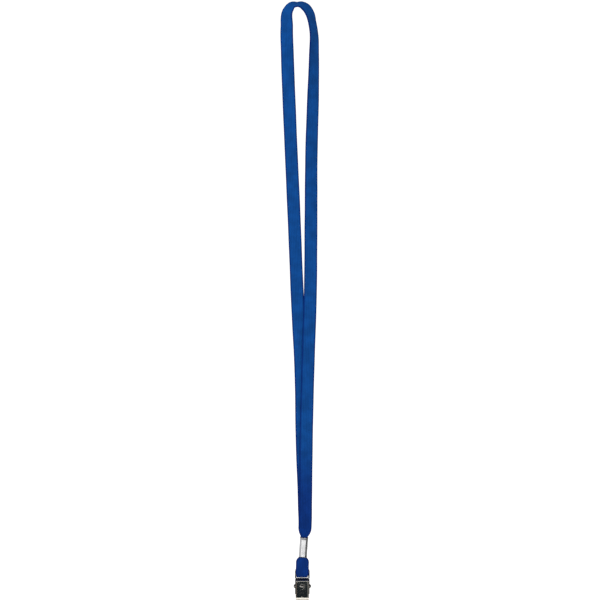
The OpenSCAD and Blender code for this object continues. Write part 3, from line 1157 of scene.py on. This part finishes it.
@dataclass
class RearJaw(SheetPiece):
    """The long jaw: thumb plate with the strap slot, outer ears, and the upright lip that is bitten on."""

    width: float = 11.0 * MM
    lip_width: float = 10.0 * MM
    middle: float = 2.35 * MM
    lip_middle: float = 0.4 * MM
    top: float = 13.0 * MM
    foot: float = -11.4 * MM
    lip_height: float = 2.0 * MM
    bend_top: float = -5.8 * MM
    corner: float = 1.8 * MM
    slot_bottom: float = 5.9 * MM
    slot_height: float = 1.7 * MM
    slot_half: float = 4.6 * MM
    edge_strip: float = 0.25 * MM
    ear_top: float = 5.0 * MM
    ear_drop: float = 0.9 * MM
    ear_start: float = -0.9 * MM
    ear_radius: float = 2.3 * MM
    nose_from: float = 197.0
    nose_to: float = 64.0
    fold: float = 0.55 * MM

    def plate(self) -> Shell:
        """The plate's middle surface, with its slot, rounded top corners, forward bend and toothed foot.

        Depth eases from the plate's to the lip's between the bend's two heights. A corner's square of x and z
        shares, a and b, becomes a quarter disc: a times the root of (1 - b^2/2), b times the root of
        (1 - a^2/2). The cells in the slot, beside the ears and beside the lip are left out.

        Returns:
            The plate's surface.
        """
        half = self.width / 2
        fold_x = half - self.sheet / 2 - self.fold
        lip = self.lip_width / 2
        bend_foot = self.foot + self.lip_height
        tips = np.linspace(-lip, lip, self.tooth_steps * tooth_count(self.lip_width, self.tooth_pitch) + 1)
        strip = half - self.edge_strip
        sides = np.array([-half, -strip, -self.slot_half, self.slot_half, strip, half])
        x = np.unique(np.round(np.concatenate([tips, sides, [-fold_x, fold_x]]), 7))
        ear_foot = self.bend_top - self.ear_drop
        z = stations(
            [
                self.foot, self.foot + self.tooth_reach * self.tooth_height, bend_foot,
                ear_foot - self.relief, ear_foot, self.ear_top,
                self.slot_bottom, self.slot_bottom + self.slot_height, self.top - self.corner, self.top,
            ], self.cell,
        )
        across, up = np.meshgrid(x, z)
        depth = mix(self.middle, self.lip_middle, smooth((self.bend_top - up) / (self.bend_top - bend_foot)))
        mid_x = (across[:-1, :-1] + across[1:, 1:]) / 2
        mid_z = (up[:-1, :-1] + up[1:, 1:]) / 2
        in_slot = (np.abs(mid_x) < self.slot_half) & (mid_z > self.slot_bottom)
        in_slot &= mid_z < self.slot_bottom + self.slot_height
        by_ear = (mid_z > ear_foot - self.relief) & (mid_z < self.ear_top + self.relief)
        beside_ear = (np.abs(mid_x) > fold_x) & by_ear
        beside_lip = (np.abs(mid_x) > lip) & (mid_z < ear_foot)
        a = np.clip((np.abs(across) - half + self.corner) / self.corner, 0.0, 1.0)
        b = np.clip((up - self.top + self.corner) / self.corner, 0.0, 1.0)
        inward = self.corner * a * (1.0 - np.sqrt(1.0 - b**2 / 2.0))
        downward = self.corner * b * (1.0 - np.sqrt(1.0 - a**2 / 2.0))
        near_foot = np.clip(1.0 - (up - self.foot) / (self.tooth_reach * self.tooth_height), 0.0, 1.0)
        bitten = teeth(across, self.lip_width, self.tooth_pitch, self.tooth_height) * near_foot
        places = np.stack([across - np.sign(across) * inward, depth, up - downward + bitten], axis=-1)
        return Shell.grid(places, ~(in_slot | beside_ear | beside_lip))

    def ear(self, side: Side) -> Shell:
        """One ear: its free edge runs up a slanted line and round the rivet's nose.

        Args:
            side: Which side the ear is on.

        Returns:
            The ear's surface.
        """
        nose = arc((0.0, 0.0), self.ear_radius, self.nose_from, self.nose_to, self.nose_steps)
        free = np.vstack([[[self.ear_start, self.bend_top]], nose])
        rows = stations([self.bend_top - self.ear_drop, self.ear_top], self.cell)
        edge_x = self.width / 2 - self.sheet / 2 - self.fold
        return folded_ear(side, edge_x, self.middle, rows, self.fold, -1.0, free)

    def build(self, finish: bpy.types.Material, axis: np.ndarray) -> bpy.types.Object:
        """Makes the rear jaw.

        Args:
            finish: The clip's plate material.
            axis: The middle of the rivet's axis.

        Returns:
            The rear jaw.
        """
        shell = self.plate().joined(self.ear(Side.LEFT)).joined(self.ear(Side.RIGHT))
        return dress(self.thicken(shell, "jaw_rear", axis), finish, Body.CLIP, "rear_jaw")


@dataclass
class FrontJaw(SheetPiece):
    """The short jaw: rolled lever, bossed plate, inner ears, and the bent-in toothed lip."""

    width: float = 9.84 * MM
    middle: float = -2.85 * MM
    lever: float = 5.2 * MM
    roll: float = 0.65 * MM
    roll_start: float = -30.0
    roll_steps: int = 24
    bend_radius: float = 1.6 * MM
    bend_turn: float = 65.0
    bend_steps: int = 16
    bite_gap: float = 0.05 * MM
    lip_middle: float = 0.4 * MM
    foot: float = -10.0 * MM
    tooth_reach: float = 1.6
    tooth_steps: int = 6
    cell: float = 0.2 * MM
    ear_back: float = 1.8 * MM
    ear_radius: float = 1.85 * MM
    nose_from: float = -30.0
    nose_to: float = 120.0
    fold: float = 0.9 * MM
    boss_radius: float = 1.7 * MM
    boss_height: float = 0.45 * MM
    dart_depth: float = 0.4 * MM
    dart_width: float = 0.55 * MM
    dart_length: float = 1.0 * MM
    dart_drop: float = 0.4 * MM

    def side_path(self) -> tuple[np.ndarray, float, float]:
        """The sheet's middle line seen from the side, from the rolled end down to the lip's tip.

        Returns:
            The line's depth and height, and the heights of the plate's flat top and foot.
        """
        roll_y = self.middle + self.roll
        roll_z = self.lever - self.sheet / 2 - self.roll
        turn = math.radians(self.bend_turn)
        half = self.sheet / 2
        tip_y = self.lip_middle - half - self.bite_gap - half * math.cos(turn)
        lip_run = (tip_y - self.middle - self.bend_radius * (1 - math.cos(turn))) / math.sin(turn)
        drop = lip_run * math.cos(turn) + self.bend_radius * math.sin(turn)
        bend_z = self.foot + half * math.sin(turn) + drop
        rolled = arc((roll_y, roll_z), self.roll, self.roll_start, 180.0, self.roll_steps)
        hub = (self.middle + self.bend_radius, bend_z)
        bent = arc(hub, self.bend_radius, 180.0, 180.0 + self.bend_turn, self.bend_steps)
        return np.vstack([rolled, bent, [[tip_y, bend_z - drop]]]), roll_z, bend_z

    def plate(self) -> Shell:
        """The plate's middle surface: the side line pulled out across X, pressed and toothed.

        The boss is a shallow dome, its height times (1 - r^2) to the power 0.8, where r is the distance from
        its middle in boss radii. The dart is pushed in by a bell curve of the place across times a bell curve
        of the distance along the sheet from just past the bend's start. The cells beside the ears are left
        out.

        Returns:
            The plate's surface.
        """
        line, flat_top, flat_foot = self.side_path()
        along = walk(line)
        rolled = along[self.roll_steps]
        bend = along[self.roll_steps + 1]
        half = self.width / 2
        fold_x = half - self.sheet / 2 - self.fold
        tips = np.linspace(-half, half, self.tooth_steps * tooth_count(self.width, self.tooth_pitch) + 1)
        x = np.unique(np.round(np.concatenate([tips, [-fold_x, fold_x]]), 7))
        ear_span = flat_top - self.roll - flat_foot
        ear_high = rolled + self.roll
        s = stations(
            [
                0.0, rolled, ear_high - self.relief, ear_high, ear_high + ear_span, bend + self.relief,
                along[-1] - self.tooth_reach * self.tooth_height, along[-1],
            ], self.cell,
        )
        across, down = np.meshgrid(x, s)
        bitten = teeth(across, self.width, self.tooth_pitch, self.tooth_height)
        near_tip = np.clip(1.0 - (along[-1] - down) / (self.tooth_reach * self.tooth_height), 0.0, 1.0)
        yz = at_distance(line, down - bitten * near_tip)
        from_boss = np.hypot(across, yz[..., 1]) / self.boss_radius
        on_plate = (down > rolled) & (down < bend)
        dome = np.where(on_plate, np.clip(1.0 - from_boss**2, 0.0, 1.0) ** 0.8, 0.0)
        past_dart = (down - bend - self.dart_drop) / self.dart_length
        dart = np.exp(-((across / self.dart_width) ** 2) - past_dart**2)
        depth = yz[..., 0] - self.boss_height * dome + self.dart_depth * dart
        mid_x = (across[:-1, :-1] + across[1:, 1:]) / 2
        mid_s = (down[:-1, :-1] + down[1:, 1:]) / 2
        by_ear = (mid_s > ear_high - self.relief) & (mid_s < bend + self.relief)
        beside_ear = (np.abs(mid_x) > fold_x) & by_ear
        return Shell.grid(np.stack([across, depth, yz[..., 1]], axis=-1), ~beside_ear)

    def ear(self, side: Side) -> Shell:
        """One inner ear, whose free edge goes round the rivet at the back.

        Args:
            side: Which side the ear is on.

        Returns:
            The ear's surface.
        """
        _, flat_top, flat_foot = self.side_path()
        nose = arc((0.0, 0.0), self.ear_radius, self.nose_from, self.nose_to, self.nose_steps)
        free = np.vstack([[[self.middle + self.ear_back, flat_foot]], nose])
        rows = stations([flat_foot, flat_top - self.roll], self.cell)
        edge_x = self.width / 2 - self.sheet / 2 - self.fold
        return folded_ear(side, edge_x, self.middle, rows, self.fold, 1.0, free)

    def build(self, finish: bpy.types.Material, axis: np.ndarray) -> bpy.types.Object:
        """Makes the front jaw.

        Args:
            finish: The clip's plate material.
            axis: The middle of the rivet's axis.

        Returns:
            The front jaw.
        """
        shell = self.plate().joined(self.ear(Side.LEFT)).joined(self.ear(Side.RIGHT))
        return dress(self.thicken(shell, "jaw_front", axis), finish, Body.JAW, "front_jaw")


@dataclass
class Rivet:
    """The rivet through all four ears, with a domed head at each end."""

    shank: float = 1.0 * MM
    span: float = 11.0 * MM
    head: float = 1.5 * MM
    head_height: float = 1.2 * MM
    brim: float = 0.12 * MM
    around_steps: int = 48

    def rings(self, axis: np.ndarray) -> np.ndarray:
        """The rivet's skin: its half outline turned round X.

        A head's outline is a quarter oval: its height above the brim times the cosine and its radius times
        the sine of an angle from nearly 0 to 90 degrees, on a short upright brim.

        Args:
            axis: The middle of the rivet's axis.

        Returns:
            The places, rings along the rivet by points round it.
        """
        turn = np.radians(np.linspace(2.0, 90.0, 16))
        dome_x = self.span / 2 + self.brim + (self.head_height - self.brim) * np.cos(turn)
        dome_r = self.head * np.sin(turn)
        under = np.array([[self.span / 2, self.head], [self.span / 2, self.shank]])
        right = np.vstack([np.stack([dome_x, dome_r], axis=1), under])
        outline = np.vstack([right, right[::-1] * [-1.0, 1.0]])
        angle = np.linspace(0.0, 2 * math.pi, self.around_steps, endpoint=False)
        x = np.repeat(outline[:, :1], self.around_steps, axis=1)
        radius = outline[:, 1:]
        places = np.stack([x, radius * np.cos(angle)[None], radius * np.sin(angle)[None]], axis=-1)
        return places + axis

    def build(self, finish: bpy.types.Material, axis: np.ndarray) -> bpy.types.Object:
        """Makes the rivet.

        Args:
            finish: The rivet's material.
            axis: The middle of the rivet's axis.

        Returns:
            The rivet.
        """
        piece = Shell.tube(self.rings(axis)).made("rivet_pin")
        finish_surface(piece)
        return dress(piece, finish, Body.CLIP, "rivet")


@dataclass
class Spring:
    """The torsion spring: a coil round the rivet, one leg up the rear plate and one up the front lever."""

    wire: float = 0.5 * MM
    turns: int = 5
    coil_radius: float = 1.45 * MM
    length: float = 5.6 * MM
    leg: float = 2.7 * MM
    rear_leg: float = 1.82 * MM
    front_leg: float = 2.32 * MM
    chamfer: float = 0.06 * MM
    turn_steps: int = 40
    leg_steps: int = 8
    around_steps: int = 14

    def wire_line(self) -> np.ndarray:
        """The wire's middle line: x grows evenly along the rivet while depth and height go round it.

        Depth is the coil's radius times the cosine, and height less the radius times the sine, of the angle
        wound so far. The legs go straight up from the coil's ends.

        Returns:
            The line's points, measured from the rivet's axis.
        """
        angle = np.linspace(0.0, (2 * self.turns + 1) * math.pi, self.turn_steps * self.turns)
        share = angle / angle[-1]
        coil = np.stack([
            self.length * (share - 0.5), self.coil_radius * np.cos(angle), -self.coil_radius * np.sin(angle)
        ], axis=1)
        rise = np.linspace(1.0, 0.0, self.leg_steps + 1)[:-1, None]
        end = 0 * rise + self.length / 2
        rear = np.hstack([-end, mix(self.coil_radius, self.rear_leg, rise), self.leg * rise])
        front = np.hstack([end, -mix(self.coil_radius, self.front_leg, rise), self.leg * rise])
        return np.vstack([rear, coil, front[::-1]])

    def rings(self, axis: np.ndarray) -> np.ndarray:
        """The wire's skin: a circle carried along the wire's line, drawn in to a small end at both cuts.

        Args:
            axis: The middle of the rivet's axis.

        Returns:
            The places, rings along the wire by points round it.
        """
        line = self.wire_line()
        heading = unit(np.gradient(line, axis=0))
        first = unit(np.array([1.0, 0.0, 0.0]) - heading * heading[:, :1])
        second = np.cross(heading, first)
        angle = np.linspace(0.0, 2 * math.pi, self.around_steps, endpoint=False)
        radius = self.wire / 2
        turn = np.cos(angle)[None, :, None] * first[:, None] + np.sin(angle)[None, :, None] * second[:, None]
        body = line[:, None] + radius * turn
        small = 1.0 - 2 * self.chamfer / self.wire
        start = line[0] - self.chamfer * heading[0] + small * radius * turn[0]
        stop = line[-1] + self.chamfer * heading[-1] + small * radius * turn[-1]
        return np.concatenate([start[None], body, stop[None]]) + axis

    def build(self, finish: bpy.types.Material, axis: np.ndarray) -> bpy.types.Object:
        """Makes the spring, which sits between the clip's body and the jaw.

        Args:
            finish: The wire's material.
            axis: The middle of the rivet's axis.

        Returns:
            The spring.
        """
        piece = Shell.tube(self.rings(axis)).made("spring_coil")
        finish_surface(piece)
        piece.data.materials.append(finish)
        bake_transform(piece)
        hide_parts("spring")
        LOG.info("spring_coil: %d turns of %.1f mm wire", self.turns, self.wire / MM)
        return piece


# ---------------------------------------------------------------------------------------------------------
# The studio
# ---------------------------------------------------------------------------------------------------------


@dataclass
class Studio:
    """Pale floor, white surroundings, soft lights, cards to reflect, and a camera level with the lanyard."""

    aim: Point = (1.14 * MM, 0.0, -224.05 * MM)
    seen_height: float = 456 * MM
    lens: float = 85.0
    sensor: float = 36.0
    floor_gap: float = 0.16
    floor_half: float = 12.0
    seen_white: float = 1.1
    fill: float = 0.55
    reflected: float = 0.05
    floor_glow: float = 0.6
    floor_reflected: float = 0.3
    clip_card_top: float = -538 * MM
    crimp_card_top: float = -360 * MM
    crimp_front_top: float = -470 * MM
    card_near: float = 20 * MM
    card_far: float = 600 * MM
    crimp_card_radius: float = 620 * MM
    lip_card_reach: float = 500 * MM
    card_lift: float = 2 * MM
    card_steps: int = 32

    def camera(self) -> bpy.types.Object:
        """Adds the camera, straight in front and level.

        Its distance is half the seen height over the tangent of half its angle of view, and that tangent is
        half the sensor over the lens's length.

        Returns:
            The camera.
        """
        data = bpy.data.cameras.new("front_view")
        data.lens = self.lens
        data.sensor_width = self.sensor
        camera = bpy.data.objects.new("front_view", data)
        distance = (self.seen_height / 2) / (self.sensor / 2 / self.lens)
        camera.location = (self.aim[0], self.aim[1] - distance, self.aim[2])
        camera.rotation_euler = (math.radians(90.0), 0.0, 0.0)
        bpy.context.scene.collection.objects.link(camera)
        bpy.context.scene.camera = camera
        return camera

    def panel(self, name: str, centre: Point, facing: Point, half: tuple[float, float]) -> bpy.types.Object:
        """A flat four-cornered panel.

        Args:
            name: The panel's name.
            centre: Its middle.
            facing: The direction that its front looks in.
            half: Half its width and half its height.

        Returns:
            The panel, marked as part of the stage.
        """
        out = unit(np.array(facing, dtype=float))
        up = np.array([0.0, 0.0, 1.0]) if abs(out[2]) < 0.9 else np.array([0.0, 1.0, 0.0])
        right = unit(np.cross(up, out))
        up = np.cross(out, right)
        signs = np.array([[-1, -1], [1, -1], [1, 1], [-1, 1]])
        corners = np.array(centre) + signs[:, :1] * half[0] * right + signs[:, 1:] * half[1] * up
        piece = Shell(corners, np.array([[0, 1, 2, 3]]), []).made(name)
        piece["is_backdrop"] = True
        return piece

    def card(
        self, name: str, sweep: tuple[float, float], outline: Sequence[Sequence[float]], shade: Colour
    ) -> None:
        """A curved card round the hanging clip that only shiny surfaces see, as a studio's flags are.

        Its outline is swept round the aim: a place is the outline's radius times the angle's sine along X and
        less the radius times its cosine along Y, so that 0 degrees is in front and 90 is at the right.

        Args:
            name: The card's name.
            sweep: Its first and last angle in degrees.
            outline: The radius and height of each point of its outline.
            shade: Its colour and brightness.
        """
        angle = np.radians(np.linspace(sweep[0], sweep[1], self.card_steps + 1))[:, None]
        radius, height = np.array(outline).T[:, None, :]
        x = self.aim[0] + radius * np.sin(angle)
        y = -radius * np.cos(angle)
        piece = Shell.grid(np.stack([x, y, height + 0 * angle], axis=-1)).made(name)
        piece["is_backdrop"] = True
        piece.visible_camera = False
        piece.visible_diffuse = False
        piece.visible_shadow = False
        piece.visible_transmission = False
        material = bpy.data.materials.new(name)
        material.use_nodes = True
        tree = material.node_tree
        tree.nodes.clear()
        glow = node(tree, "ShaderNodeEmission", {"Color": opaque(shade), "Strength": 1.0})
        node(tree, "ShaderNodeOutputMaterial", {"Surface": glow.outputs[0]})
        piece.data.materials.append(material)

    def surroundings(self) -> None:
        """Lights the world: white to the camera, softer as fill on dull surfaces, and dim in reflections."""
        world = bpy.data.worlds.new("white_studio")
        bpy.context.scene.world = world
        world.use_nodes = True
        tree = world.node_tree
        tree.nodes.clear()
        ray = node(tree, "ShaderNodeLightPath")
        dull = between(tree, ray.outputs["Is Diffuse Ray"], 0.0, 1.0, self.seen_white, self.fill)
        shares = {0: ray.outputs["Is Glossy Ray"], 2: dull, 3: self.reflected}
        strength = node(tree, "ShaderNodeMix", shares, data_type="FLOAT").outputs[0]
        glow = node(tree, "ShaderNodeBackground", {"Color": (1.0, 1.0, 1.0, 1.0), "Strength": strength})
        node(tree, "ShaderNodeOutputWorld", {"Surface": glow.outputs[0]})

    def light(self, name: str, place: Point, size: float, power: float) -> None:
        """A square soft light that shines on the aim and isn't seen in reflections.

        Args:
            name: The light's name.
            place: Where it stands.
            size: Its side.
            power: Its power in watts.
        """
        data = bpy.data.lights.new(name, "AREA")
        data.size = size
        data.energy = power
        lamp = bpy.data.objects.new(name, data)
        lamp.location = place
        lamp.rotation_euler = (Vector(place) - Vector(self.aim)).to_track_quat("Z", "Y").to_euler()
        lamp.visible_glossy = False
        bpy.context.scene.collection.objects.link(lamp)

    def floor(self) -> None:
        """Adds the pale floor, well under the hanging clip and dimmer in reflections."""
        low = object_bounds()[0]
        piece = self.panel(
            "floor", (0.0, 0.0, low[2] - self.floor_gap), (0.0, 0.0, 1.0), (self.floor_half, self.floor_half)
        )
        material, tree, shader = new_material("pale_floor")
        place = node(tree, "ShaderNodeTexCoord").outputs["Object"]
        noise = node(tree, "ShaderNodeTexNoise", {"Vector": place, "Scale": 3.0, "Detail": 3.0})
        tone = between(tree, noise.outputs[0], 0.3, 0.7, 0.0, 1.0)
        colour = blended(tree, tone, (0.95, 0.95, 0.95, 1.0), (0.96, 0.96, 0.96, 1.0))
        tree.links.new(colour, shader.inputs["Base Color"])
        shader.inputs["Roughness"].default_value = 0.9
        shader.inputs["Specular IOR Level"].default_value = 0.0
        white = (1.0, 1.0, 1.0, 1.0)
        shader.inputs["Emission Color"].default_value = white
        shader.inputs["Emission Strength"].default_value = self.floor_glow
        reflected = node(tree, "ShaderNodeEmission", {"Color": white, "Strength": self.floor_reflected})
        ray = node(tree, "ShaderNodeLightPath")
        either = node(
            tree, "ShaderNodeMixShader",
            {0: ray.outputs["Is Glossy Ray"], 1: shader.outputs[0], 2: reflected.outputs[0]},
        )
        tree.links.new(either.outputs[0], tree.nodes["Material Output"].inputs["Surface"])
        piece.data.materials.append(material)

    def light_up(self) -> None:
        """Adds the surroundings, lights and cards, and shows the colours as they are."""
        self.surroundings()
        self.light("key", (-0.75, -0.95, 0.25), 0.7, 9.0)
        self.light("top", (0.1, -0.2, 0.9), 0.6, 3.0)
        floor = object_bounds()[0][2] - self.floor_gap + self.card_lift
        foot, top = self.clip_card_top, self.crimp_card_top
        low = [(self.card_near, floor), (self.card_far, floor), (self.card_far, foot)]
        high = [(self.crimp_card_radius, foot), (self.crimp_card_radius, top)]
        bright = [(self.crimp_card_radius, foot), (self.crimp_card_radius, self.crimp_front_top)]
        behind = [(0.0, floor + MM), (self.lip_card_reach, floor + MM)]
        self.card("clip_front", (-50.0, 20.0), low, (0.0090, 0.0160, 0.021))
        self.card("clip_right", (20.0, 150.0), low, (0.20, 0.20, 0.195))
        self.card("clip_left", (-150.0, -50.0), low, (0.17, 0.14, 0.12))
        self.card("crimp_front", (-24.0, 21.0), bright, (1.45, 1.45, 1.45))
        self.card("crimp_right", (21.0, 178.0), high, (0.012, 0.012, 0.012))
        self.card("crimp_left", (-178.0, -24.0), high, (0.62, 0.62, 0.63))
        self.card("lip_back", (150.0, 210.0), behind, (1.45, 1.40, 1.27))
        view = bpy.context.scene.view_settings
        view.view_transform = "Standard"
        view.look = "None"


def main() -> None:
    """Builds the camera, the tape, the crimp and the clip, then the studio."""
    logging.basicConfig(level=logging.INFO, format="%(name)s: %(message)s", stream=sys.stdout)
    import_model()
    studio = Studio()
    studio.camera()
    effects = Effects()
    Tape().build(TapeFinish().material(effects))
    Crimp().build(CRIMP_METAL.material(effects))
    low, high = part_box("rivet")
    axis = (np.array(low) + np.array(high)) / 2
    plate = CLIP_PLATE.material(effects)
    RearJaw().build(plate, axis)
    FrontJaw().build(plate, axis)
    Rivet().build(RIVET_STEEL.material(effects), axis)
    Spring().build(SPRING_WIRE.material(effects), axis)
    studio.floor()
    studio.light_up()


if __name__ == "__main__":
    main()
